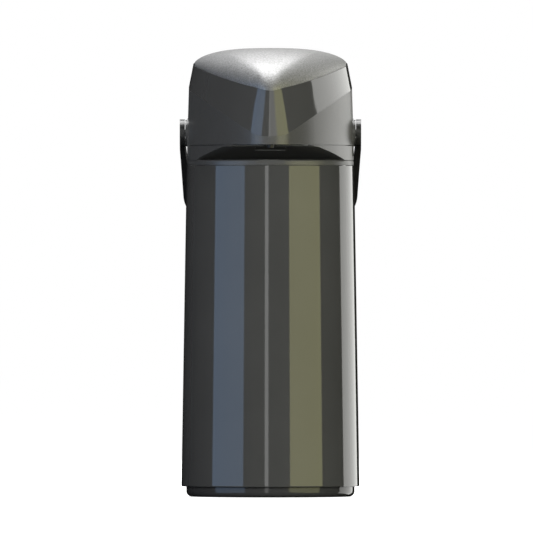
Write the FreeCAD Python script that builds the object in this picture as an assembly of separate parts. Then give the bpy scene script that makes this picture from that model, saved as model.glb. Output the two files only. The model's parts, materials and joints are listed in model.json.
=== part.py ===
"""Thermal coffee airpot, 1.8 litre: glass vacuum refill, screw-on base, hinged pump head, bail.

Millimetres, +Z up.  The origin is on the body's axis at the underside, and the front, with the
beak and its nozzle, faces -Y.
"""
import FreeCAD, Part
import math
import os
from FreeCAD import Vector

# ---------------------------------------------------------------- driving dimensions
FOOT_R = 68.3                # base cap
FOOT_H = 8.0
FOOT_EDGE_R = 4.5
JACKET_R_LOW = 72.25         # outer jacket, at its bottom and top edges
JACKET_R_TOP = 68.0
JACKET_TOP = 269.0
JACKET_WALL = 1.2
SEAM = 0.6                   # open seam between outer shells
LIP_TOP = 273.2              # top of the round lip under the beak
HEAD_BOTTOM = 284.8          # seam between collar and hinged head
WALL = 2.2                   # moulded shells
GAP = 0.4                    # clearance between bodies that move

# plan outline of head and collar: tangent arcs, given by the azimuth of the outward normal,
# 0 at the nose (-Y), 90 at the sides, 180 at the back
REAR_R = 67.6
REAR_FROM = 75.5
FLANK_R = 229.7
FLANK_FROM = 56.9
CHEEK_R = 135.7
NOSE_FROM = 44.0

# heights of the two creases that bound the glossy sash
LOW_CREASE_NOSE = 291.3
LOW_CREASE_SLOPE = 0.692
LOW_CREASE_BEND_X = 11.4     # half width over which the crease runs level across the nose
LOW_CREASE_BEND = 4.0
LOW_CREASE_REAR = 350.0
HIGH_CREASE_NOSE = 328.4
HIGH_CREASE_SLOPE = 0.157
HIGH_CREASE_CURVE = 0.00273
HIGH_CREASE_SOFT = 4.0
HIGH_CREASE_REAR = 359.5
FLANK_DRAFT = 1.67           # degrees off vertical
SASH_LEAN_NOSE = 8.7
SASH_LEAN_SIDE = 11.0
CROWN = 363.9
DOME_FOCUS_Y = -10.0         # plan point where the dome is highest
DOME_LEVELS = 9
DOME_CAP = 0.85              # share of the way to the focus where the dome closes flat

# moving parts
PUMP_TRAVEL = 20.0
LOCK_TRAVEL = 5.0
LATCH_TRAVEL = 3.0
BAIL_PIVOT_Z = 294.9
BAIL_LEAN = 48.5             # degrees back from hanging straight down, where it meets the jacket
HINGE_Y = 73.0
HINGE_Z = HEAD_BOTTOM

# flow path
MOUTH_TOP = 276.0            # rim of the glass refill
STEM_R = 4.5                 # dip tube
NOZZLE_Y = -91.0
NOZZLE_TIP_Z = 282.2
NOZZLE_TIP_R = 2.65
DUCT_Z = 294.0               # centre of the delivery tube through the head
DUCT_R = 4.0

BELLOWS_Z = 304.0
BELLOWS_TOP = 344.0
BELLOWS_R = 34.0

ORIGIN = Vector(0, 0, 0)
UP = Vector(0, 0, 1)
ALONG_X = Vector(1, 0, 0)


# ---------------------------------------------------------------- helpers
def cylinder(radius, low, high, x=0.0, y=0.0):
    return Part.makeCylinder(radius, high - low, Vector(x, y, low), UP)


def rod_x(radius, x_from, x_to, y, z):
    """Cylinder along X."""
    return Part.makeCylinder(radius, x_to - x_from, Vector(x_from, y, z), ALONG_X)


def ring(outer, inner, low, high, x=0.0, y=0.0):
    return cylinder(outer, low, high, x, y).cut(cylinder(inner, low - 1, high + 1, x, y))


def block(x_from, x_to, y_from, y_to, z_from, z_to):
    return Part.makeBox(x_to - x_from, y_to - y_from, z_to - z_from, Vector(x_from, y_from, z_from))


def turned(profile):
    """Solid of revolution about Z from a closed list of (radius, height) corners."""
    corners = [Vector(radius, 0, height) for radius, height in profile]
    face = Part.Face(Part.makePolygon(corners + corners[:1]))
    return face.revolve(ORIGIN, UP, 360)


def prism_yz(corners, half_width):
    """Prism along X, both ways from x = 0, from a closed list of (y, z) corners."""
    points = [Vector(-half_width, y, z) for y, z in corners]
    face = Part.Face(Part.makePolygon(points + points[:1]))
    return face.extrude(Vector(2 * half_width, 0, 0))


def both_sides(shape):
    """The shape and its mirror image across the YZ plane."""
    return [shape, shape.mirror(ORIGIN, ALONG_X)]


def joined(shapes):
    """One solid from shapes that touch or overlap."""
    whole = shapes[0].multiFuse(shapes[1:]) if len(shapes) > 1 else shapes[0]
    return whole.removeSplitter()


# ---------------------------------------------------------------- head outline in plan
def sine(degrees):
    return math.sin(math.radians(degrees))


def cosine(degrees):
    return math.cos(math.radians(degrees))


def plan_arcs():
    """(from azimuth, to azimuth, radius, centre y, centre x on the +X side), back to nose."""
    arcs = [(180.0, REAR_FROM, REAR_R, 0.0, 0.0)]
    x, y = REAR_R * sine(REAR_FROM), -REAR_R * cosine(REAR_FROM)
    for start, end, radius in ((REAR_FROM, FLANK_FROM, FLANK_R), (FLANK_FROM, NOSE_FROM, CHEEK_R)):
        centre_x, centre_y = x - radius * sine(start), y + radius * cosine(start)
        arcs.append((start, end, radius, centre_y, centre_x))
        x, y = centre_x + radius * sine(end), centre_y - radius * cosine(end)
    nose_r = x / sine(NOSE_FROM)
    arcs.append((NOSE_FROM, 0.0, nose_r, y + nose_r * cosine(NOSE_FROM), 0.0))
    return arcs


ARCS = plan_arcs()
NOSE_TIP_Y = ARCS[-1][3] - ARCS[-1][2]
STEPS = (14, 8, 5, 8)        # spans sampled on each arc


def plan_point(azimuth, inset):
    """Point of the outline moved inwards by inset; a negative azimuth is the -X side."""
    azimuth = (azimuth + 180) % 360 - 180
    for start, end, radius, centre_y, centre_x in ARCS:
        if abs(azimuth) >= end:
            break
    x = centre_x + (radius - inset) * sine(abs(azimuth))
    y = centre_y - (radius - inset) * cosine(abs(azimuth))
    return math.copysign(x, azimuth), y


def stretches():
    """Azimuths sampled along each smooth stretch, once round from the back over the -X side."""
    half = []
    for (start, end, *_), steps in zip(ARCS, STEPS):
        half.append([start + (end - start) * k / steps for k in range(steps + 1)])
    left = [[-a for a in stretch] for stretch in half]
    return left + [stretch[::-1] for stretch in half[::-1]]


STRETCHES = stretches()


def plan_wire(inset, z):
    """The outline at height z, as exact tangent arcs."""
    edges = []
    for side in (-1, 1):
        for start, end, *_ in ARCS:
            ends = (start, (start + end) / 2, end)
            points = [plan_point(a, inset) for a in ends]
            corners = [Vector(side * abs(x), y, z) for x, y in points]
            edges.append(Part.Arc(*corners).toShape())
    return Part.Wire(Part.__sortEdges__(edges))


def plan_prism(inset, low, high):
    return Part.Face(plan_wire(inset, low)).extrude(Vector(0, 0, high - low))


# ---------------------------------------------------------------- head surfaces
def eased(start, slope, end, length, distance):
    """Height along a curve that leaves at a slope and arrives level."""
    t = distance / length
    leaving = slope * length
    return start + leaving * t * (1 - t) ** 2 + (end - start) * t * t * (3 - 2 * t)


def crease_height(azimuth, front_height, front_slope, rear_height):
    """Crease height by x in front, carried on smoothly round the back."""
    around = min(abs(azimuth), REAR_FROM)
    x = abs(plan_point(around, 0)[0])
    if abs(azimuth) <= REAR_FROM:
        return front_height(x)
    length = REAR_R * math.radians(180 - REAR_FROM)
    distance = REAR_R * math.radians(abs(azimuth) - REAR_FROM)
    slope = front_slope(x) * cosine(REAR_FROM)
    return eased(front_height(x), slope, rear_height, length, distance)


def low_crease(azimuth):
    def height(x):
        past = x - LOW_CREASE_BEND_X
        return LOW_CREASE_NOSE + LOW_CREASE_SLOPE * (past + math.hypot(past, LOW_CREASE_BEND)) / 2

    return crease_height(azimuth, height, lambda x: LOW_CREASE_SLOPE, LOW_CREASE_REAR)


def high_crease(azimuth):
    def height(x):
        out = math.hypot(x, HIGH_CREASE_SOFT) - HIGH_CREASE_SOFT
        return HIGH_CREASE_NOSE + HIGH_CREASE_SLOPE * out + HIGH_CREASE_CURVE * out * out

    def slope(x):
        return HIGH_CREASE_SLOPE + 2 * HIGH_CREASE_CURVE * x

    return crease_height(azimuth, height, slope, HIGH_CREASE_REAR)


def low_inset(azimuth):
    return math.tan(math.radians(FLANK_DRAFT)) * (low_crease(azimuth) - HEAD_BOTTOM)


def high_inset(azimuth):
    share = min(abs(azimuth) / FLANK_FROM, 1.0)
    lean = SASH_LEAN_NOSE + (SASH_LEAN_SIDE - SASH_LEAN_NOSE) * share * share * (3 - 2 * share)
    rise = high_crease(azimuth) - low_crease(azimuth)
    return low_inset(azimuth) + math.tan(math.radians(lean)) * rise


def closed_wire(point_at):
    """Closed wire through point_at(azimuth), one curve to each stretch, tangent where they meet."""
    nudge = 0.02
    edges = []
    for stretch in STRETCHES:
        points = [Vector(*point_at(a)) for a in stretch]
        leave, arrive = (Vector(*point_at(a + nudge)) - Vector(*point_at(a - nudge))
                         for a in (stretch[0], stretch[-1]))
        knots = [k / (len(points) - 1) for k in range(len(points))]
        curve = Part.BSplineCurve()
        curve.interpolate(Points=points, Parameters=knots, InitialTangent=leave, FinalTangent=arrive)
        edges.append(curve.toShape())
    return Part.Wire(edges)


def level_wire(inset_at, height_at, extra):
    return closed_wire(lambda a: (*plan_point(a, inset_at(a) + extra), height_at(a)))


def dome_rise(share):
    """Superellipse: share of the dome's height reached at a share of the way to the focus."""
    return (1 - (1 - share) ** 3) ** (2 / 3)


def dome_wire(share, extra):
    def point_at(azimuth):
        x, y = plan_point(azimuth, high_inset(azimuth) + extra)
        edge_z = high_crease(azimuth)
        z = edge_z + (CROWN - extra - edge_z) * dome_rise(share)
        if share == DOME_CAP:
            z = CROWN - extra
        return x * (1 - share), DOME_FOCUS_Y + (y - DOME_FOCUS_Y) * (1 - share), z

    return closed_wire(point_at)


def solid_from(faces):
    """Closed solid from faces that meet edge to edge."""
    shell = Part.makeShell(faces)
    shell.sewShape()
    solid = Part.makeSolid(shell)
    if solid.Volume < 0:
        solid.reverse()
    return solid


def head_form(extra, bottom):
    """Closed solid of the whole head, moved inwards by extra, from height bottom up."""
    base = level_wire(lambda a: 0.0, lambda a: bottom, extra)
    low = level_wire(low_inset, low_crease, extra)
    high = level_wire(high_inset, high_crease, extra)
    shares = [DOME_CAP * (k / DOME_LEVELS) ** 2 for k in range(DOME_LEVELS + 1)]
    dome = [dome_wire(share, extra) for share in shares]
    sides = Part.makeLoft([base, low, high], False, True)
    top = Part.makeLoft(dome, False, False)
    faces = sides.Faces + top.Faces + [Part.Face(base), Part.Face(dome[-1])]
    return solid_from(faces)


def rim_prism(margin, low, high):
    """Vertical prism inside the upper crease, by a margin."""
    wire = level_wire(high_inset, lambda a: low, margin)
    return Part.Face(wire).extrude(Vector(0, 0, high - low))


# ---------------------------------------------------------------- base and jacket
def edge_rounded(shape, amount, radius, z):
    """Fillet the circular edge of a given radius at height z."""
    edges = []
    for edge in shape.Edges:
        round_edge = isinstance(edge.Curve, Part.Circle)
        if round_edge and abs(edge.Curve.Radius - radius) < 0.01 and abs(edge.Curve.Center.z - z) < 0.01:
            edges.append(edge)
    return shape.makeFillet(amount, edges)


CAP_SPIGOT_R = 61.6
CAP_FLOOR = 4.0
PAD_R = 56.0
PAD_H = 1.5
JACKET_LOW = FOOT_H + 0.3


def make_base_cap():
    cap = edge_rounded(cylinder(FOOT_R, 0, FOOT_H), FOOT_EDGE_R, FOOT_R, 0)
    cap = cap.fuse(ring(CAP_SPIGOT_R, CAP_SPIGOT_R - 4, FOOT_H - 1, 20))
    cap = cap.cut(cylinder(CAP_SPIGOT_R - 4, CAP_FLOOR, 21))
    return cap.cut(cylinder(PAD_R + 0.3, -1, PAD_H))


def make_non_slip_pad():
    return cylinder(PAD_R, 0, PAD_H)


def make_base_seal():
    return ring(67.5, 63.0, FOOT_H + 0.05, FOOT_H + 0.75)


def make_thread_ring():
    """Threaded ring bonded in the jacket, which the base cap screws into."""
    return ring(70.6, CAP_SPIGOT_R + 0.2, FOOT_H + 0.8, 22)


def make_jacket():
    top = JACKET_TOP - SEAM / 2
    edge = 0.8
    return turned([
        (JACKET_R_LOW - edge, JACKET_LOW), (JACKET_R_LOW - 0.2, JACKET_LOW + 0.2),
        (JACKET_R_LOW, JACKET_LOW + edge), (JACKET_R_TOP, top - 0.4), (JACKET_R_TOP - 0.4, top),
        (JACKET_R_TOP - JACKET_WALL, top), (JACKET_R_LOW - JACKET_WALL, JACKET_LOW)])


# ---------------------------------------------------------------- glass refill
GLASS = 1.4
OUTER_FLASK = dict(radius=59.0, bottom=12.0, dome=32.0, shoulder=222.0, neck_base=260.0, neck_r=30.0)
INNER_FLASK = dict(radius=54.0, bottom=18.0, dome=30.0, shoulder=218.0, neck_base=256.0, neck_r=25.5)


def flask_form(radius, bottom, dome, shoulder, neck_base, neck_r, wall=0.0, top=MOUTH_TOP):
    """Solid bottle form, moved inwards by wall: domed bottom, soft shoulder, straight neck."""
    r, neck, low = radius - wall, neck_r - wall, bottom + wall
    base = Part.BezierCurve()
    base.setPoles([Vector(0, 0, low), Vector(0.55 * r, 0, low), Vector(r, 0, low + 0.4 * dome),
                   Vector(r, 0, bottom + dome)])
    rise = neck_base - shoulder
    slope = Part.BezierCurve()
    slope.setPoles([Vector(r, 0, shoulder), Vector(r, 0, shoulder + 0.65 * rise),
                    Vector(neck, 0, neck_base - 0.6 * rise), Vector(neck, 0, neck_base)])
    rest = [
        Part.makeLine(Vector(r, 0, bottom + dome), Vector(r, 0, shoulder)),
        Part.makeLine(Vector(neck, 0, neck_base), Vector(neck, 0, top)),
        Part.makeLine(Vector(neck, 0, top), Vector(0, 0, top)),
        Part.makeLine(Vector(0, 0, top), Vector(0, 0, low))]
    wire = Part.Wire(Part.__sortEdges__([base.toShape(), slope.toShape()] + rest))
    return Part.Face(wire).revolve(ORIGIN, UP, 360)


def make_refill_outer_flask():
    glass = flask_form(**OUTER_FLASK).cut(flask_form(**OUTER_FLASK, wall=GLASS, top=MOUTH_TOP + 1))
    low = OUTER_FLASK["bottom"] + 0.5
    tip = Part.makeCone(1.0, 4.0, low - 6.5, Vector(0, 0, 6.5), UP)
    return joined([glass, tip])


def make_refill_inner_flask():
    glass = flask_form(**INNER_FLASK).cut(flask_form(**INNER_FLASK, wall=GLASS, top=MOUTH_TOP + 1))
    lip_out = OUTER_FLASK["neck_r"] - GLASS
    lip_in = INNER_FLASK["neck_r"] - GLASS / 2
    return joined([glass, ring(lip_out, lip_in, MOUTH_TOP - GLASS, MOUTH_TOP)])


def make_refill_spacers():
    """Three insulating pads that hold the two glass walls apart."""
    band = ring(OUTER_FLASK["radius"] - GLASS - 0.1, INNER_FLASK["radius"] + 0.1, 55, 75)
    spacer = rod_x(4.5, 45, 60, 0, 65).common(band)
    spacers = []
    for turn in (30, 150, 270):
        one = spacer.copy()
        one.rotate(ORIGIN, UP, turn)
        spacers.append(one)
    return Part.makeCompound(spacers)


def make_flask_cushion():
    ring_form = turned([(20, CAP_FLOOR + 0.1), (54, CAP_FLOOR + 0.1), (57, 30), (50, 30)])
    return ring_form.cut(flask_form(**OUTER_FLASK, wall=-0.1))


def make_neck_gasket():
    return turned([(24.2, MOUTH_TOP + 0.1), (30.2, MOUTH_TOP + 0.1), (30.2, 266), (33.6, 266),
                   (33.6, 279.4), (24.2, 279.4)])


# ---------------------------------------------------------------- dip tube
FLANGE_Z = 279.5
STEM_TOP = 284.0


def make_dip_tube():
    tube = ring(STEM_R, STEM_R - 1.2, 27, STEM_TOP)
    seat = ring(STEM_R - 0.6, 1.8, 266, 268)
    return joined([tube, seat])


def make_tube_foot():
    """Slotted foot, which keeps grounds out of the tube."""
    foot = ring(STEM_R + 1.5, STEM_R, 21, 34).fuse(cylinder(STEM_R + 1.5, 21, 22.5))
    for turn in (0, 60, 120):
        slot = block(-8, 8, -0.9, 0.9, 23, 26.8)
        slot.rotate(ORIGIN, UP, turn)
        foot = foot.cut(slot)
    return foot


def make_tube_flange():
    hub = ring(STEM_R + 2.5, STEM_R, 272, STEM_TOP)
    disc = ring(31, STEM_R + 1, FLANGE_Z, FLANGE_Z + 2)
    flange = joined([hub, disc])
    for turn in range(0, 360, 60):
        hole = cylinder(3.2, FLANGE_Z - 1, FLANGE_Z + 3, 15)
        hole.rotate(ORIGIN, UP, turn)
        flange = flange.cut(hole)
    return flange


def make_spill_ball():
    return Part.makeSphere(2.6, Vector(0, 0, 270.4))


# ---------------------------------------------------------------- shoulder collar
COLLAR_LOW = JACKET_TOP + SEAM / 2
COLLAR_TOP = HEAD_BOTTOM - SEAM / 2
SEAM_RIB_TOP = 285.2         # rib inside the seam, so nothing shows through it
RAMP_BACK_Y = -35.0          # where the ramp under the beak meets the lip
RAMP_BEND_Y = -80.0
RAMP_BEND_Z = 283.4
CHIN_Y = -86.0               # blunt front edge of the chin
CHIN_Z = 283.8
EAR_HALF = 12.0
EAR_IN = 64.8
EAR_OUT = 67.4
EAR_BOSS_R = 10.8
EAR_BOSS_OUT = 69.1
BAIL_PIN_R = 3.0
LATCH_HALF = 12.0
LATCH_BACK_Y = -70.0
LATCH_FRONT_Y = -78.0


def ramp_z(y):
    return LIP_TOP + (RAMP_BEND_Z - LIP_TOP) * (RAMP_BACK_Y - y) / (RAMP_BACK_Y - RAMP_BEND_Y)


def under_beak(raised):
    """Space below the beak's ramp, raised by a wall's thickness."""
    slope = [(RAMP_BACK_Y, LIP_TOP), (RAMP_BEND_Y, RAMP_BEND_Z), (CHIN_Y, CHIN_Z)]
    corners = [(y, z + raised) for y, z in slope]
    corners += [(CHIN_Y, 300), (-140, 300), (-140, 260), (RAMP_BACK_Y, 260)]
    return prism_yz(corners, 90)


def make_collar_ear():
    """Tab that stands in a notch of the head's flank, with the boss that the bail turns on."""
    plate = block(EAR_IN, EAR_OUT, -EAR_HALF, EAR_HALF, 276, BAIL_PIVOT_Z)
    plate = plate.fuse(rod_x(EAR_HALF, EAR_IN, EAR_OUT, 0, BAIL_PIVOT_Z))
    foot = block(EAR_IN - 1.9, EAR_IN + 1, -10, 10, 276, 286)
    boss = rod_x(EAR_BOSS_R, EAR_OUT - 0.5, EAR_BOSS_OUT, 0, BAIL_PIVOT_Z)
    hole = rod_x(BAIL_PIN_R, EAR_IN - 5, EAR_BOSS_OUT + 5, 0, BAIL_PIVOT_Z)
    return joined([plate, foot, boss]).cut(hole)


KNUCKLE_R = 4.5
HINGE_PIN_R = 2.0


def make_collar_knuckle():
    knuckle = rod_x(KNUCKLE_R, 14, 26, HINGE_Y, HINGE_Z)
    web = block(14, 26, 58, HINGE_Y, HINGE_Z - KNUCKLE_R, COLLAR_TOP)
    return knuckle.fuse(web)


def make_shoulder_collar():
    upper = plan_prism(0, LIP_TOP - 0.3, COLLAR_TOP).cut(under_beak(0))
    lip = edge_rounded(cylinder(REAR_R, COLLAR_LOW, LIP_TOP), 1.6, REAR_R, LIP_TOP)
    skirt = cylinder(66.3, 258, COLLAR_LOW + 1)
    seam_floor = cylinder(REAR_R - 0.3, COLLAR_LOW - 0.5, COLLAR_LOW + 1)
    parts = [upper, lip, skirt, seam_floor]
    parts += both_sides(make_collar_ear()) + both_sides(make_collar_knuckle())
    rib = plan_prism(2.6, COLLAR_TOP - 1, SEAM_RIB_TOP).cut(plan_prism(3.5, 270, 300)).cut(under_beak(0))
    dish = plan_prism(3.5, 279, COLLAR_TOP + 20).cut(under_beak(WALL))
    for beside_ear in both_sides(block(EAR_IN - 3, 90, -15, 15, 270, 310)):
        dish = dish.cut(beside_ear)
        rib = rib.cut(beside_ear)
    lip_floor = block(-90, 90, -140, RAMP_BACK_Y + WALL, LIP_TOP - WALL, 300)
    below = ring(63.8, 36, 257, 276.5).cut(lip_floor)
    collar = joined(parts).cut(dish).fuse(rib).cut(below).cut(cylinder(33.8, 250, 290))
    latch_slot = block(-LATCH_HALF - 0.3, LATCH_HALF + 0.3, LATCH_FRONT_Y - 0.3,
                       LATCH_BACK_Y + LATCH_TRAVEL + 0.4, 270, 300)
    pin_hole = rod_x(HINGE_PIN_R, -40, 40, HINGE_Y, HINGE_Z)
    swing = rod_x(KNUCKLE_R + 0.6, -13.9, 13.9, HINGE_Y, HINGE_Z)
    return collar.cut(latch_slot).cut(pin_hole).cut(swing).removeSplitter()


def make_bail_pins():
    shank = rod_x(BAIL_PIN_R, EAR_IN, 73.0, 0, BAIL_PIVOT_Z)
    inner = rod_x(5.0, EAR_IN - 2, EAR_IN, 0, BAIL_PIVOT_Z)
    outer = rod_x(6.0, 72.2, 73.6, 0, BAIL_PIVOT_Z)
    return Part.makeCompound(both_sides(joined([shank, inner, outer])))


def make_hinge_pin():
    return rod_x(HINGE_PIN_R, -28, 28, HINGE_Y, HINGE_Z)


def make_latch_button():
    """Tab flush with the ramp under the beak, with a finger that reaches into the head."""
    corners = [(LATCH_BACK_Y, ramp_z(LATCH_BACK_Y)), (LATCH_FRONT_Y, ramp_z(LATCH_FRONT_Y)),
               (LATCH_FRONT_Y, COLLAR_TOP), (LATCH_BACK_Y, COLLAR_TOP)]
    return joined([prism_yz(corners, LATCH_HALF), block(-5, 5, -76, -74, COLLAR_TOP - 1, 288.3)])


# ---------------------------------------------------------------- bail
BAIL_REACH = 110.0           # pivot to the outside of the grip
BAIL_DISC_R = 11.2
BAIL_OUT = 73.6
BAIL_ARM = 4.1
GRIP = 11.0
BAIL_CORNER_R = 41.0
BAIL_HUB = 11.3              # the arms run straight this far from the pivot
BAIL_TAPER_OUT = 2.6         # degrees the arms' two faces close towards the grip
BAIL_TAPER_IN = 5.0


def bail_edges(out, reach, corner, taper):
    """Arm, corner and half the grip of one face of the bail, hanging straight down."""
    arm = (reach - BAIL_HUB - corner + corner * sine(taper)) / cosine(taper)
    hub_end = Vector(out, 0, -BAIL_HUB)
    arm_end = hub_end - Vector(arm * sine(taper), 0, arm * cosine(taper))
    centre_x = arm_end.x - corner * cosine(taper)
    middle = Vector(centre_x + corner * cosine(45), 0, corner - reach - corner * sine(45))
    bottom = Vector(centre_x, 0, -reach)
    corner_arc = Part.Arc(arm_end, middle, bottom).toShape()
    return [Part.makeLine(Vector(out, 0, 0), hub_end), Part.makeLine(hub_end, arm_end), corner_arc,
            Part.makeLine(bottom, Vector(0, 0, -reach))]


def make_bail():
    outside = bail_edges(BAIL_OUT, BAIL_REACH, BAIL_CORNER_R, BAIL_TAPER_OUT)
    inside = bail_edges(BAIL_OUT - BAIL_ARM, BAIL_REACH - GRIP, BAIL_CORNER_R - 7, BAIL_TAPER_IN)
    ends = [Part.makeLine(Vector(BAIL_OUT - BAIL_ARM, 0, 0), Vector(BAIL_OUT, 0, 0)),
            Part.makeLine(Vector(0, 0, -BAIL_REACH), Vector(0, 0, GRIP - BAIL_REACH))]
    half = Part.Face(Part.Wire(Part.__sortEdges__(outside + inside + ends)))
    half = half.extrude(Vector(0, 30, 0))
    half.translate(Vector(0, -15, 0))
    widths = ((10.5, 0), (6.6, 20), (5.6, 45), (5.8, 70), (6.8, 95), (7.0, BAIL_REACH + 2))
    side = Part.BSplineCurve()
    side.interpolate([Vector(0, width, -drop) for width, drop in widths])
    far = side.toShape()
    near = far.mirror(ORIGIN, Vector(0, 1, 0))
    closing = [Part.makeLine(far.Vertexes[k].Point, near.Vertexes[k].Point) for k in (0, -1)]
    profile = Part.Face(Part.Wire(Part.__sortEdges__([far, near] + closing)))
    half = half.common(profile.extrude(Vector(90, 0, 0)))
    disc = rod_x(BAIL_DISC_R, BAIL_OUT - BAIL_ARM, BAIL_OUT, 0, 0)
    half = half.fuse(disc)
    bail = joined(both_sides(half))
    for side_cut in both_sides(rod_x(BAIL_PIN_R + 0.05, 60, 80, 0, 0)):
        bail = bail.cut(side_cut)
    for side_cut in both_sides(rod_x(6.05, 72.1, 80, 0, 0)):
        bail = bail.cut(side_cut)
    bail.rotate(ORIGIN, ALONG_X, BAIL_LEAN)
    bail.translate(Vector(0, 0, BAIL_PIVOT_Z))
    return bail


# ---------------------------------------------------------------- pump head
RIM = 0.8                    # width of the sash's upper edge
RIM_GAP = 0.35               # seam between the sash and the press pad
BRIDGE_HALF = 38.0           # fixed bridge behind the press pad
BRIDGE_Y = 38.0
BRIDGE_LOW = 338.0
SKIRT_LOW = 320.0
HEAD_LOW = HEAD_BOTTOM + SEAM / 2
PLATE_LOW = HEAD_LOW + 0.4
PLATE_TOP = PLATE_LOW + 2.4
SCREW_SPOTS = ((44.0, 22.0), (34.0, -50.0))
LOCK_HALF = 16.5
LOCK_FRONT_Y = 42.0
LOCK_LENGTH = 10.0
LOCK_FLOOR = 359.5
LOCK_TOP = 364.4


def bridge_block(margin):
    return block(-BRIDGE_HALF - margin, BRIDGE_HALF + margin, BRIDGE_Y - margin, 90, 300, 380)


def ear_notch(gap):
    """Cut in the head's flanks for the collar's ears, bosses and bail pins."""
    low, reach = 270, EAR_IN - 2 - gap
    cuts = block(reach, 90, -EAR_HALF - gap, EAR_HALF + gap, low, BAIL_PIVOT_Z)
    return both_sides(cuts.fuse(rod_x(EAR_HALF + gap, reach, 90, 0, BAIL_PIVOT_Z)))


def make_screw_post(x, y):
    """Screw post with a rib out to the flank."""
    post = cylinder(4.2, PLATE_TOP + 0.1, 299, x, y)
    rib = block(x, x + 30, y - 1, y + 1, PLATE_TOP + 0.1, 297)
    return post.fuse(rib)


def make_lid_knuckle():
    knuckle = rod_x(KNUCKLE_R, -13.6, 13.6, HINGE_Y, HINGE_Z)
    web = block(-13.6, 13.6, 62, HINGE_Y, HEAD_LOW, HINGE_Z + KNUCKLE_R)
    return knuckle.fuse(web)


def parting_ring(inset_at, crease, far_z):
    """Ring round the head between a crease and a level plane, for parting its outer shells."""
    def far(azimuth):
        return far_z

    levels = ((-5, far), (-5, crease), (15, crease), (15, far))
    wires = [level_wire(inset_at, height, extra) for extra, height in levels]
    walls = Part.makeLoft(wires, False, True)
    base = Part.Face(wires[0]).cut(Part.Face(wires[-1]))
    return solid_from(walls.Faces + base.Faces)


def head_wall():
    """The head's wall, open below and inside the upper crease."""
    wall = head_form(0, HEAD_LOW).cut(head_form(WALL, HEAD_LOW - 5))
    return wall.cut(rim_prism(RIM, 300, 400))


HEAD_WALL = head_wall()
BELOW_SASH = parting_ring(low_inset, low_crease, HEAD_BOTTOM - 8)
ABOVE_SASH = parting_ring(high_inset, high_crease, CROWN + 6)


def make_head_shell():
    shell = HEAD_WALL.common(BELOW_SASH)
    inside = head_form(WALL / 2, HEAD_LOW)
    posts = []
    for x, y in SCREW_SPOTS:
        posts += both_sides(make_screw_post(x, y).common(inside))
    shell = joined([shell, make_lid_knuckle().cut(head_form(WALL, HEAD_LOW - 5))] + posts)
    for notch in ear_notch(0.6):
        shell = shell.cut(notch)
    for x, y in SCREW_SPOTS:
        for bore in both_sides(cylinder(1.25, 280, 297, x, y)):
            shell = shell.cut(bore)
    return shell.cut(rod_x(HINGE_PIN_R + 0.05, -40, 40, HINGE_Y, HINGE_Z))


def make_head_sash():
    """Glossy band between the creases, welded to the shell below it."""
    return HEAD_WALL.cut(BELOW_SASH).cut(ABOVE_SASH)


def make_rear_bridge():
    """Fixed cap behind the press pad, which carries the lock."""
    outer = head_form(0, HEAD_LOW).common(rim_prism(RIM + 0.1, BRIDGE_LOW, 400))
    inner = head_form(WALL, HEAD_LOW).common(rim_prism(RIM + 0.1 + WALL, 300, 400))
    cap = outer.common(bridge_block(0)).cut(inner.common(bridge_block(-WALL)))
    bed = block(-21, 21, BRIDGE_Y + 1, 61, LOCK_FLOOR - WALL, 370).common(outer)
    bay = block(-LOCK_HALF - 0.3, LOCK_HALF + 0.3, LOCK_FRONT_Y - 0.3,
                LOCK_FRONT_Y + LOCK_LENGTH + LOCK_TRAVEL + 0.3, LOCK_FLOOR, 370)
    return joined([cap, bed]).cut(bay)


def make_head_base_plate():
    plate = plan_prism(WALL + 0.5, PLATE_LOW, PLATE_TOP)
    for notch in ear_notch(0.6):
        plate = plate.cut(notch)
    plate = plate.cut(cylinder(6.5, 280, 290)).cut(cylinder(4.4, 280, 290, 0, NOZZLE_Y))
    plate = plate.cut(block(-5.5, 5.5, -76.5, -74 + LATCH_TRAVEL + 0.5, 280, 290))
    for turn in (90, 210, 330):
        vent = cylinder(3.0, 280, 290, 17)
        vent.rotate(ORIGIN, UP, turn)
        plate = plate.cut(vent)
    for x, y in SCREW_SPOTS:
        bore = cylinder(1.25, 280, 290, x, y).fuse(cylinder(3.3, 280, PLATE_LOW + 1.5, x, y))
        for cut in both_sides(bore):
            plate = plate.cut(cut)
    return plate


def make_plate_screws():
    screws = []
    for x, y in SCREW_SPOTS:
        head = cylinder(3.1, PLATE_LOW + 0.1, PLATE_LOW + 1.5, x, y)
        cross = block(x - 1.8, x + 1.8, y - 0.4, y + 0.4, PLATE_LOW, PLATE_LOW + 0.9)
        turned_cross = block(x - 0.4, x + 0.4, y - 1.8, y + 1.8, PLATE_LOW, PLATE_LOW + 0.9)
        screw = head.cut(cross).cut(turned_cross).fuse(cylinder(1.25, PLATE_LOW + 1.4, 296, x, y))
        screws += both_sides(screw)
    return Part.makeCompound(screws)


def make_stopper_gasket():
    return ring(32, 22, 282.1, PLATE_LOW - 0.1)


def make_duct_seal():
    return ring(6.4, DUCT_R + 0.05, PLATE_LOW - 0.3, PLATE_TOP)


def duct_form(radius, grown):
    """Delivery route, outside or bore: up from the dip tube, forward, and down to the nozzle."""
    low_in, low_out = 284.6 - grown, 288.5 - grown
    rise = cylinder(radius, low_in, DUCT_Z)
    run = Part.makeCylinder(radius, -NOZZLE_Y, Vector(0, NOZZLE_Y, DUCT_Z), Vector(0, 1, 0))
    fall = cylinder(radius, low_out, DUCT_Z, 0, NOZZLE_Y)
    elbows = [Part.makeSphere(radius, Vector(0, y, DUCT_Z)) for y in (0, NOZZLE_Y)]
    return joined([rise, run, fall] + elbows)


def make_delivery_tube():
    return duct_form(DUCT_R, 0).cut(duct_form(DUCT_R - 1.2, 1))


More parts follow.
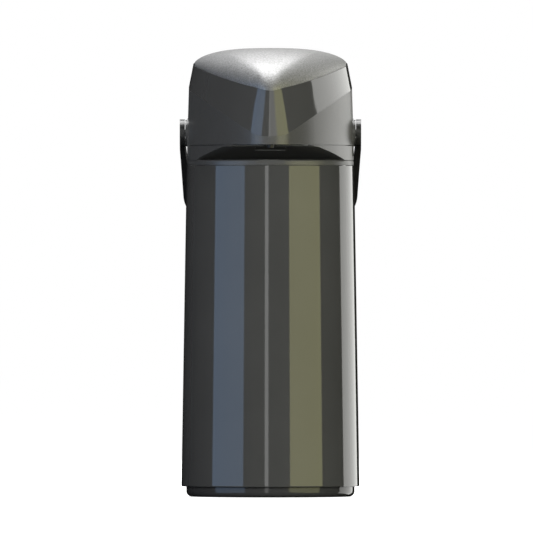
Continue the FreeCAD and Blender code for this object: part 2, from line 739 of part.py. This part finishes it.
def make_nozzle():
    nozzle = turned([(1.8, NOZZLE_TIP_Z), (NOZZLE_TIP_R - 0.3, NOZZLE_TIP_Z),
                     (NOZZLE_TIP_R, NOZZLE_TIP_Z + 0.4), (NOZZLE_TIP_R + 0.2, HEAD_BOTTOM),
                     (DUCT_R, PLATE_LOW + 1), (DUCT_R, 288.4), (DUCT_R - 1.2, 288.4), (1.8, PLATE_LOW)])
    nozzle.translate(Vector(0, NOZZLE_Y, 0))
    return nozzle


def make_stopper_housing():
    housing = cylinder(30, PLATE_TOP + 0.1, 303.4).cut(cylinder(28, 280, 301.4))
    slot = block(-DUCT_R - 0.4, DUCT_R + 0.4, -40, 0, 280, DUCT_Z + DUCT_R + 0.4)
    return housing.cut(slot).cut(cylinder(5, 300, 305, 0, 12))


def make_outlet_valve():
    """Flap over the air passage from the bellows to the flask."""
    return cylinder(7.5, 303.5, 304.5, 0, 12)


def make_bellows():
    folds = 5
    pitch = (BELLOWS_TOP - BELLOWS_Z) / (2 * folds)
    wall, depth = 1.4, 5.0
    outside, inside = [], []
    for k in range(2 * folds + 1):
        radius = BELLOWS_R if k % 2 else BELLOWS_R - depth
        outside.append((radius, BELLOWS_Z + k * pitch))
        inside.append((radius - wall, BELLOWS_Z + k * pitch))
    return turned(outside + inside[::-1])


def make_bellows_clamp():
    seat = [(27.2, 303.5), (31.6, 303.5), (31.6, 304.5)]
    lip = [(30.2, 304.5), (30.2, 303.9), (27.2, 303.9)]
    return turned(seat + lip)


def make_pump_spring():
    height = BELLOWS_TOP - BELLOWS_Z - 8
    coil_r, wire_r, turns = 20.0, 1.1, 5
    path = Part.makeHelix(height / turns, height, coil_r)
    path.translate(Vector(0, 0, BELLOWS_Z + 4))
    section = Part.Wire(Part.makeCircle(wire_r, Vector(coil_r, 0, BELLOWS_Z + 4), Vector(0, 1, 0)))
    return Part.Wire(path).makePipeShell([section], True, True)


# ---------------------------------------------------------------- press pad and lock
PAD_SCREW_X = 13.5
PAD_SCREW_TOP = 357.0


def make_press_pad():
    outer = head_form(0, HEAD_LOW).common(rim_prism(RIM + RIM_GAP, SKIRT_LOW, 400)).cut(bridge_block(0.4))
    void = head_form(WALL, HEAD_LOW).common(rim_prism(RIM + RIM_GAP + WALL, 300, 400))
    shell = outer.cut(void.cut(bridge_block(0.4 + WALL)))
    boss = ring(17, 10, BELLOWS_TOP + 2.8, 370).common(head_form(WALL / 2, HEAD_LOW))
    pad = joined([shell, boss])
    for bore in both_sides(cylinder(1.25, 340, PAD_SCREW_TOP, PAD_SCREW_X)):
        pad = pad.cut(bore)
    return pad


def make_bellows_plate():
    plate = cylinder(30, BELLOWS_TOP + 0.2, BELLOWS_TOP + 2.7).cut(cylinder(4, 340, 350))
    for bore in both_sides(cylinder(1.25, 340, 350, PAD_SCREW_X)):
        plate = plate.cut(bore)
    return plate


def make_pad_screws():
    head = cylinder(2.8, BELLOWS_TOP - 1.2, BELLOWS_TOP + 0.2, PAD_SCREW_X)
    shank = cylinder(1.25, BELLOWS_TOP, PAD_SCREW_TOP, PAD_SCREW_X)
    return Part.makeCompound(both_sides(head.fuse(shank)))


def make_inlet_valve():
    """Flap that lets air into the bellows on the up stroke."""
    return ring(7.0, 1.5, BELLOWS_TOP - 1.0, BELLOWS_TOP + 0.1)


def make_lock_slider():
    back = LOCK_FRONT_Y + LOCK_LENGTH
    slider = block(-LOCK_HALF, LOCK_HALF, LOCK_FRONT_Y, back, LOCK_FLOOR + 0.3, LOCK_TOP)
    upright = [e for e in slider.Edges if e.BoundBox.ZLength > 1]
    slider = slider.makeFillet(3.0, upright)
    for y in (44.5, 47.0, 49.5):
        groove = rod_x(0.6, -10, 10, y, LOCK_TOP + 0.2)
        slider = slider.cut(groove)
    return slider


NODES = {
    "base_cap": make_base_cap,
    "non_slip_pad": make_non_slip_pad,
    "base_seal": make_base_seal,
    "thread_ring": make_thread_ring,
    "jacket": make_jacket,
    "refill_outer_flask": make_refill_outer_flask,
    "refill_inner_flask": make_refill_inner_flask,
    "refill_spacers": make_refill_spacers,
    "flask_cushion": make_flask_cushion,
    "neck_gasket": make_neck_gasket,
    "dip_tube": make_dip_tube,
    "tube_foot": make_tube_foot,
    "tube_flange": make_tube_flange,
    "spill_ball": make_spill_ball,
    "shoulder_collar": make_shoulder_collar,
    "bail_pins": make_bail_pins,
    "hinge_pin": make_hinge_pin,
    "latch_button": make_latch_button,
    "bail_handle": make_bail,
    "head_shell": make_head_shell,
    "head_sash": make_head_sash,
    "rear_bridge": make_rear_bridge,
    "head_base_plate": make_head_base_plate,
    "plate_screws": make_plate_screws,
    "stopper_gasket": make_stopper_gasket,
    "duct_seal": make_duct_seal,
    "delivery_tube": make_delivery_tube,
    "nozzle": make_nozzle,
    "stopper_housing": make_stopper_housing,
    "outlet_valve": make_outlet_valve,
    "bellows": make_bellows,
    "bellows_clamp": make_bellows_clamp,
    "pump_spring": make_pump_spring,
    "press_pad": make_press_pad,
    "bellows_plate": make_bellows_plate,
    "pad_screws": make_pad_screws,
    "inlet_valve": make_inlet_valve,
    "lock_slider": make_lock_slider,
}

os.makedirs("parts", exist_ok=True)
for node, make in NODES.items():
    shape = make()
    solids = shape.Solids
    if not solids or not all(solid.isValid() for solid in solids):
        print("bad solid:", node)
    shape.exportStep(f"parts/{node}.step")
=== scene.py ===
"""Thermal coffee airpot: finishes, refined shells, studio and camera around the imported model.

Metres, +Z up, the front with its beak towards -Y.
"""
import json
import math

import bmesh
import bpy
import numpy as np
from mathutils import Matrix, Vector
from mathutils.bvhtree import BVHTree


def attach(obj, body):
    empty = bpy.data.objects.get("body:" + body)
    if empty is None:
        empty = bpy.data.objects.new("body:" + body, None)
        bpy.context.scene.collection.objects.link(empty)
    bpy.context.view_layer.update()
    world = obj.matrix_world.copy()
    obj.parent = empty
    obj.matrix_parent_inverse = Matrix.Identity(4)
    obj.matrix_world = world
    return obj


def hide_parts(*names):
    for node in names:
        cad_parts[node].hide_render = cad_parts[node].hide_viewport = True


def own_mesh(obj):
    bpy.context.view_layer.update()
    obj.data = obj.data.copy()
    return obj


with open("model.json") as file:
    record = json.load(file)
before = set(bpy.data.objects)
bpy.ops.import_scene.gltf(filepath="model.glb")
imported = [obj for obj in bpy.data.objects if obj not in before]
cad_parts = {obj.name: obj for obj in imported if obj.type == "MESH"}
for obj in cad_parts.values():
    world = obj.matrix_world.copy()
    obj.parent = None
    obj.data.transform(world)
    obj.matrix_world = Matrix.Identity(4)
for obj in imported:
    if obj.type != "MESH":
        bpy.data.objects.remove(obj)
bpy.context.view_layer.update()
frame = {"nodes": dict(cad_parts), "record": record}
nodes = frame["nodes"]
scene = bpy.context.scene


# ---------------------------------------------------------------- node helpers
class Finish:
    """A procedural material under construction: one Principled shader and what drives it."""

    def __init__(self, name):
        self.material = bpy.data.materials.new(name)
        self.material.use_nodes = True
        self.tree = self.material.node_tree
        self.shader = self.tree.nodes["Principled BSDF"]
        self.place = self.tree.nodes.new("ShaderNodeTexCoord").outputs["Object"]

    def set(self, **values):
        for socket, value in values.items():
            self.shader.inputs[socket.replace("_", " ")].default_value = value
        return self

    def noise(self, scale, detail=3.0, roughness=0.5, stretch=None):
        node = self.tree.nodes.new("ShaderNodeTexNoise")
        node.inputs["Scale"].default_value = scale
        node.inputs["Detail"].default_value = detail
        node.inputs["Roughness"].default_value = roughness
        source = self.place
        if stretch:
            mapping = self.tree.nodes.new("ShaderNodeMapping")
            mapping.inputs["Scale"].default_value = stretch
            self.tree.links.new(self.place, mapping.inputs["Vector"])
            source = mapping.outputs["Vector"]
        self.tree.links.new(source, node.inputs["Vector"])
        return node.outputs["Fac"]

    def spread(self, source, low, high, start=0.3, end=0.7):
        """Map a 0 to 1 pattern onto a range of values."""
        node = self.tree.nodes.new("ShaderNodeMapRange")
        node.inputs["From Min"].default_value = start
        node.inputs["From Max"].default_value = end
        node.inputs["To Min"].default_value = low
        node.inputs["To Max"].default_value = high
        self.tree.links.new(source, node.inputs["Value"])
        return node.outputs["Result"]

    def blend_colour(self, source, dark, light):
        node = self.tree.nodes.new("ShaderNodeMix")
        node.data_type = "RGBA"
        node.inputs["A"].default_value = (*dark, 1)
        node.inputs["B"].default_value = (*light, 1)
        self.tree.links.new(source, node.inputs["Factor"])
        self.tree.links.new(node.outputs["Result"], self.shader.inputs["Base Color"])
        return self

    def rough(self, source):
        self.tree.links.new(source, self.shader.inputs["Roughness"])
        return self

    def bump(self, source, strength, distance):
        node = self.tree.nodes.new("ShaderNodeBump")
        node.inputs["Strength"].default_value = strength
        node.inputs["Distance"].default_value = distance
        self.tree.links.new(source, node.inputs["Height"])
        self.tree.links.new(node.outputs["Normal"], self.shader.inputs["Normal"])
        return self


def shade(colour, factor):
    return tuple(channel * factor for channel in colour)


def moulded(name, colour, rough, grain, variation=0.10, metal=0.0, grain_scale=1100.0):
    """Moulded plastic: speckled colour, patchy roughness and a fine grain in the surface."""
    finish = Finish(name).set(Metallic=metal)
    speckle = finish.spread(finish.noise(grain_scale, 1.0), 0.0, 1.0, 0.25, 0.75)
    finish.blend_colour(speckle, shade(colour, 1 - variation), shade(colour, 1 + variation))
    finish.rough(finish.spread(finish.noise(60.0), rough * 0.93, rough * 1.07))
    finish.bump(finish.noise(grain_scale * 1.2, 1.0), grain, 0.00015)
    return finish.material


def glossed(name, colour, rough, flow=0.02, coat=0.3, specular=0.5):
    """Polished graphite plastic: near mirror, with faint flow marks and handling haze."""
    finish = Finish(name).set(Coat_Weight=coat, Coat_Roughness=0.03, IOR=1.5, Specular_IOR_Level=specular)
    drift = finish.spread(finish.noise(14.0), 0.0, 1.0)
    finish.blend_colour(drift, shade(colour, 0.94), shade(colour, 1.06))
    haze = finish.noise(35.0, 5.0, 0.6, stretch=(1.0, 1.0, 0.35))
    finish.rough(finish.spread(haze, rough * 0.8, rough * 1.3))
    finish.bump(finish.noise(260.0, 2.0), flow, 0.00005)
    return finish.material


def metal_wire(name, colour, rough):
    finish = Finish(name).set(Metallic=1.0)
    finish.blend_colour(finish.spread(finish.noise(60.0), 0, 1), shade(colour, 0.9), shade(colour, 1.05))
    finish.rough(finish.spread(finish.noise(700.0, 3.0), rough * 0.7, rough * 1.4))
    finish.bump(finish.noise(900.0), 0.15, 0.00005)
    return finish.material


def silvered(name):
    finish = Finish(name).set(Metallic=1.0)
    finish.blend_colour(finish.spread(finish.noise(30.0), 0, 1), (0.80, 0.80, 0.82), (0.92, 0.92, 0.93))
    finish.rough(finish.spread(finish.noise(45.0, 4.0), 0.03, 0.10))
    finish.bump(finish.noise(25.0), 0.05, 0.0004)
    return finish.material


def silicone(name, colour):
    finish = Finish(name).set(Subsurface_Weight=0.15, Subsurface_Scale=0.004)
    finish.blend_colour(finish.spread(finish.noise(40.0), 0, 1), shade(colour, 0.94), shade(colour, 1.03))
    finish.rough(finish.spread(finish.noise(120.0), 0.38, 0.55))
    finish.bump(finish.noise(1500.0), 0.12, 0.0001)
    return finish.material


GRAPHITE = (0.060, 0.060, 0.060)
FINISHES = {
    "jacket_gloss": glossed("graphite_gloss", GRAPHITE, 0.05),
    "shell_satin": moulded("graphite_satin", (0.065, 0.065, 0.065), 0.32, 0.22, grain_scale=900),
    "pad_grain": moulded("silver_grain", (0.22, 0.22, 0.22), 0.47, 0.6, variation=0.30, metal=0.6,
                         grain_scale=800),
    "base_gloss": glossed("black_gloss", (0.042, 0.042, 0.043), 0.08, coat=0.0, specular=0.36),
    "bail_plastic": moulded("bail_black", (0.022, 0.022, 0.022), 0.30, 0.06),
    "inner_plastic": moulded("inner_black", (0.02, 0.02, 0.02), 0.5, 0.3),
    "food_plastic": moulded("natural_plastic", (0.62, 0.61, 0.57), 0.35, 0.15, variation=0.04),
    "rubber_black": moulded("black_rubber", (0.015, 0.015, 0.015), 0.75, 0.6),
    "silicone": silicone("white_silicone", (0.75, 0.75, 0.72)),
    "silvered_glass": silvered("silvered_glass"),
    "spring_steel": metal_wire("spring_steel", (0.55, 0.55, 0.55), 0.25),
    "screw_steel": metal_wire("screw_steel", (0.50, 0.50, 0.52), 0.30),
}


def dress_cad_nodes():
    slots = {entry["node"]: entry["material_slot"] for entry in frame["record"]["subparts"]}
    for name, piece in nodes.items():
        piece.data.materials.clear()
        piece.data.materials.append(FINISHES[slots[name]])


# ---------------------------------------------------------------- press pad
PAD_FOCUS = Vector((0.0, -0.010, 0.0))
PAD_CROWN = 0.3639
PAD_SKIRT_Z = 0.320
PAD_WALL = 0.0022
PAD_AROUND = 480
PAD_RINGS = 56
PAD_SPREAD = 34.0            # degrees over which the dome's corners fade out
SPREAD_BY = 0.55             # share of the way to the focus where they have faded
FRONT_HALF = 70.0            # degrees off the front up to which the dome is rounded
FRONT_FADE = 55.0            # degrees over which that ends, so that the rear keeps the CAD form
PAD_EDGE_Z = 0.326           # heights at which the two parts' walls stand plumb
BRIDGE_EDGE_Z = 0.345
SLOT_HALF, SLOT_Y = 0.0384, 0.0376
RIM_WIDTH = 0.00115          # sash rim and seam, which the dome's own outline includes at the rear
CREASE_SOFT = 0.02           # radians over which the measured rim heights are evened out
PROBE_FAR = 0.2
PROBE_STEP, PROBE_STEPS = 0.0002, 12
SHARP_ANGLE = 40.0


def surface(name):
    """Ray-castable copy of a CAD node's faces, in world space."""
    piece = nodes[name]
    corners = [piece.matrix_world @ vertex.co for vertex in piece.data.vertices]
    return BVHTree.FromPolygons(corners, [tuple(face.vertices) for face in piece.data.polygons])


def hit_radius(tree, way, height):
    """Distance from the focus to the outside of a wall, in one direction."""
    start = PAD_FOCUS + way * PROBE_FAR + Vector((0, 0, height))
    place = tree.ray_cast(start, -way, PROBE_FAR)[0]
    return 0.0 if place is None else (place - PAD_FOCUS).to_2d().length


def rim_height(tree, way, radius):
    """Height of the sash's rim just outside the pad's edge, in one direction from the focus."""
    best = 0.0
    for k in range(1, PROBE_STEPS):
        above = PAD_FOCUS + way * (radius + PROBE_STEP * k) + Vector((0, 0, 2 * PROBE_FAR))
        place = tree.ray_cast(above, Vector((0, 0, -1)), PROBE_FAR)[0]
        if place is not None:
            best = max(best, place.z)
    return best


def eased(share):
    """Smooth step from 0 to 1."""
    share = np.clip(share, 0.0, 1.0)
    return share * share * (3.0 - 2.0 * share)


def smoothed(profile, width):
    """Profile round the dome with its corners spread over a width, in radians."""
    spectrum = np.fft.rfft(profile)
    waves = np.arange(len(spectrum))
    return np.fft.irfft(spectrum * np.exp(-0.5 * (waves * width) ** 2), len(profile))


def pad_rings():
    """Directions about the focus, and each ring's radii and heights, from the skirt to the crown."""
    turn = np.arange(PAD_AROUND) / PAD_AROUND * 2 * math.pi
    ways = [Vector((math.sin(a), -math.cos(a), 0.0)) for a in turn]
    pad, bridge, sash = surface("press_pad"), surface("rear_bridge"), surface("head_sash")
    pad_r = np.array([hit_radius(pad, way, PAD_EDGE_Z) for way in ways])
    bridge_r = np.array([hit_radius(bridge, way, BRIDGE_EDGE_Z) for way in ways])
    edge_r = np.maximum(pad_r, bridge_r)
    rim_z = np.array([rim_height(sash, way, radius) for way, radius in zip(ways, edge_r)])
    edge_z = smoothed(rim_z, CREASE_SOFT)
    off_front = np.abs(np.mod(turn + math.pi, 2 * math.pi) - math.pi)
    front = 1.0 - eased((off_front - math.radians(FRONT_HALF)) / math.radians(FRONT_FADE))
    outline_r = edge_r + RIM_WIDTH * (1.0 - front)
    first = 1.0 - edge_r / outline_r
    rings = [(edge_r, np.full(PAD_AROUND, PAD_SKIRT_Z))]
    for j in range(PAD_RINGS):
        inward = (j / PAD_RINGS) ** 2
        share = first + (1.0 - first) * inward
        width = math.radians(PAD_SPREAD) * float(eased(inward / SPREAD_BY))
        radius = front * smoothed(outline_r, width) + (1.0 - front) * outline_r
        foot_z = front * smoothed(edge_z, width) + (1.0 - front) * edge_z
        rise = (1.0 - (1.0 - share) ** 3) ** (2.0 / 3.0)
        rings.append((radius * (1.0 - share), foot_z + (PAD_CROWN - foot_z) * rise))
    return turn, rings


def cut_slot(mesh):
    """Open the dome over the rear bridge, with straight edges."""
    form = bmesh.new()
    form.from_mesh(mesh)
    cuts = ((SLOT_HALF, 0.0, (1, 0, 0)), (-SLOT_HALF, 0.0, (1, 0, 0)), (0.0, SLOT_Y, (0, 1, 0)))
    for x, y, normal in cuts:
        every = form.verts[:] + form.edges[:] + form.faces[:]
        bmesh.ops.bisect_plane(form, geom=every, dist=1e-7, plane_co=(x, y, 0), plane_no=normal)
    inside = []
    for face in form.faces:
        middle = face.calc_center_median()
        if abs(middle.x) < SLOT_HALF and middle.y > SLOT_Y:
            inside.append(face)
    bmesh.ops.delete(form, geom=inside, context="FACES")
    form.to_mesh(mesh)
    form.free()


def dome_mesh(turn, rings):
    """Surface through the rings, closed at the crown and open below."""
    corners = []
    for radius, height in rings:
        across = PAD_FOCUS.x + radius * np.sin(turn)
        along = PAD_FOCUS.y - radius * np.cos(turn)
        corners += list(zip(across.tolist(), along.tolist(), height.tolist()))
    corners.append((PAD_FOCUS.x, PAD_FOCUS.y, PAD_CROWN))
    crown = len(corners) - 1
    faces = []
    for j in range(len(rings)):
        low, high = j * PAD_AROUND, (j + 1) * PAD_AROUND
        for k in range(PAD_AROUND):
            after = (k + 1) % PAD_AROUND
            if high == crown:
                faces.append((low + k, low + after, crown))
            else:
                faces.append((low + k, low + after, high + after, high + k))
    mesh = bpy.data.meshes.new("press_pad_shell")
    mesh.from_pydata(corners, [], faces)
    return mesh


def make_press_pad():
    mesh = dome_mesh(*pad_rings())
    cut_slot(mesh)
    shell = bpy.data.objects.new("press_pad_shell", mesh)
    scene.collection.objects.link(shell)
    wall = shell.modifiers.new("wall", "SOLIDIFY")
    wall.thickness, wall.offset = PAD_WALL, -1.0
    walled = shell.evaluated_get(bpy.context.evaluated_depsgraph_get())
    shell.data = bpy.data.meshes.new_from_object(walled)
    shell.modifiers.clear()
    shell.data.shade_smooth()
    shell.data.set_sharp_from_angle(angle=math.radians(SHARP_ANGLE))
    shell.data.materials.append(FINISHES["pad_grain"])
    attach(shell, "pad")
    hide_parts("press_pad")


def make_yielding(node, name):
    """Copy of a CAD node, carried with the lid, which stands in for the node, now hidden."""
    source = nodes[node]
    piece = bpy.data.objects.new(name, source.data.copy())
    piece.matrix_world = source.matrix_world.copy()
    scene.collection.objects.link(piece)
    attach(piece, "lid")
    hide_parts(node)
    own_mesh(piece)


# ---------------------------------------------------------------- studio
CENTRE_X, CENTRE_Z = -0.0032, 0.1867    # what the camera looks straight at
FRAME_WIDTH = 0.4327         # what the camera takes in, across the object
LENS, SENSOR = 1200.0, 36.0  # long, so that upright edges stay parallel
FLOOR_HALF = 16.0
GLOW_NEAR, GLOW_FAR = 0.80, 1.0
GLOW_FROM, GLOW_TO = 0.1, 0.9
CARD_LOW, CARD_HIGH = -0.6, 1.3
CARD_DISTANCE = 1.6
WHITE = (1.0, 1.0, 1.0)
SHOULDER = (0, 0, 0.3)       # what the lights above and beside are aimed at
BODY = (0, 0, 0.2)


def make_floor():
    """Pale floor that fades to white away from the object, and that the finishes don't reflect."""
    mesh = bpy.data.meshes.new("studio_floor")
    signs = ((-1, -1), (1, -1), (1, 1), (-1, 1))
    mesh.from_pydata([(x * FLOOR_HALF, y * FLOOR_HALF, 0) for x, y in signs], [], [(0, 1, 2, 3)])
    floor = bpy.data.objects.new("studio_floor", mesh)
    scene.collection.objects.link(floor)
    finish = Finish("pale_floor").set(Emission_Color=(1, 1, 1, 1))
    finish.blend_colour(finish.spread(finish.noise(3.0), 0, 1), (0.42, 0.42, 0.42), (0.46, 0.46, 0.46))
    finish.rough(finish.spread(finish.noise(20.0), 0.6, 0.8))
    reach = finish.tree.nodes.new("ShaderNodeVectorMath")
    reach.operation = "LENGTH"
    finish.tree.links.new(finish.place, reach.inputs[0])
    glow = finish.spread(reach.outputs["Value"], GLOW_NEAR, GLOW_FAR, GLOW_FROM, GLOW_TO)
    finish.tree.links.new(glow, finish.shader.inputs["Emission Strength"])
    mesh.materials.append(finish.material)
    floor.visible_glossy = False
    floor.visible_diffuse = False


def make_world():
    """Plain white surround, seen by the camera only."""
    world = bpy.data.worlds.new("studio_white")
    world.use_nodes = True
    world.node_tree.nodes["Background"].inputs["Color"].default_value = (1, 1, 1, 1)
    world.node_tree.nodes["Background"].inputs["Strength"].default_value = 1.0
    world.cycles_visibility.glossy = False
    world.cycles_visibility.diffuse = False
    scene.world = world


def make_card(name, from_azimuth, to_azimuth, colour, power, low=CARD_LOW, high=CARD_HIGH):
    """Soft card that fills the azimuths given, 0 in front of the object and + to its right."""
    middle = math.radians((from_azimuth + to_azimuth) / 2)
    width = 2 * CARD_DISTANCE * math.tan(math.radians(to_azimuth - from_azimuth) / 2)
    light = bpy.data.lights.new(name, "AREA")
    light.shape = "RECTANGLE"
    light.size, light.size_y = width, high - low
    light.color = colour
    light.energy = power * width * (high - low) * math.pi
    card = bpy.data.objects.new(name, light)
    scene.collection.objects.link(card)
    away = Vector((math.sin(middle), -math.cos(middle), 0))
    card.location = away * CARD_DISTANCE + Vector((0, 0, (low + high) / 2))
    card.rotation_euler = away.to_track_quat("Z", "Y").to_euler()
    card.visible_camera = False
    card.visible_diffuse = False
    light.use_shadow = False


def make_softbox(name, place, target, width, height, power, glossy=True, colour=WHITE):
    """Area light aimed at a target, which the gloss finishes may or may not show."""
    light = bpy.data.lights.new(name, "AREA")
    light.shape = "RECTANGLE"
    light.size, light.size_y = width, height
    light.color = colour
    light.energy = power * width * height * math.pi
    box = bpy.data.objects.new(name, light)
    scene.collection.objects.link(box)
    box.location = place
    box.rotation_euler = (Vector(place) - Vector(target)).to_track_quat("Z", "Y").to_euler()
    box.visible_camera = False
    box.visible_glossy = glossy


def make_lights():
    make_card("blue_card", -80, -35, (0.42, 0.64, 1.0), 1.55)
    make_card("thin_card", -7.3, -2.6, WHITE, 1.95)
    make_card("olive_card", 25, 70, (1.0, 0.97, 0.46), 1.9)
    make_card("white_card", 108.6, 152, (1, 1, 0.97), 2.2)
    make_card("nose_card", -2.6, 25, (1, 1, 0.98), 1.2, low=0.6, high=1.2)
    make_softbox("overhead", (-0.05, 0.35, 1.9), SHOULDER, 1.5, 1.3, 9.0)
    make_softbox("back_top", (-0.05, 1.35, 1.75), SHOULDER, 1.5, 0.8, 2.0)
    for side, power, colour in ((1, 7.4, (1, 1, 0.86)), (-1, 5.8, (0.93, 0.96, 1))):
        name = "right_fill" if side > 0 else "left_fill"
        make_softbox(name, (1.6 * side, -2.0, 0.5), BODY, 1.8, 1.5, power, glossy=False, colour=colour)
    make_softbox("back_fill", (-0.6, 2.4, 0.9), BODY, 2.0, 1.5, 3.0, glossy=False)


def make_camera():
    distance = FRAME_WIDTH * LENS / SENSOR
    data = bpy.data.cameras.new("camera")
    data.lens, data.sensor_width = LENS, SENSOR
    data.clip_start, data.clip_end = 1.0, 60.0
    camera = bpy.data.objects.new("camera", data)
    scene.collection.objects.link(camera)
    camera.location = (CENTRE_X, -distance, CENTRE_Z)
    camera.rotation_euler = (math.radians(90), 0, 0)
    scene.camera = camera


def set_view_transform():
    scene.view_settings.view_transform = "Standard"
    scene.view_settings.look = "None"


dress_cad_nodes()
make_press_pad()
make_yielding("bellows", "bellows_folds")
make_yielding("pump_spring", "return_spring")
make_floor()
make_world()
make_lights()
make_camera()
set_view_transform()
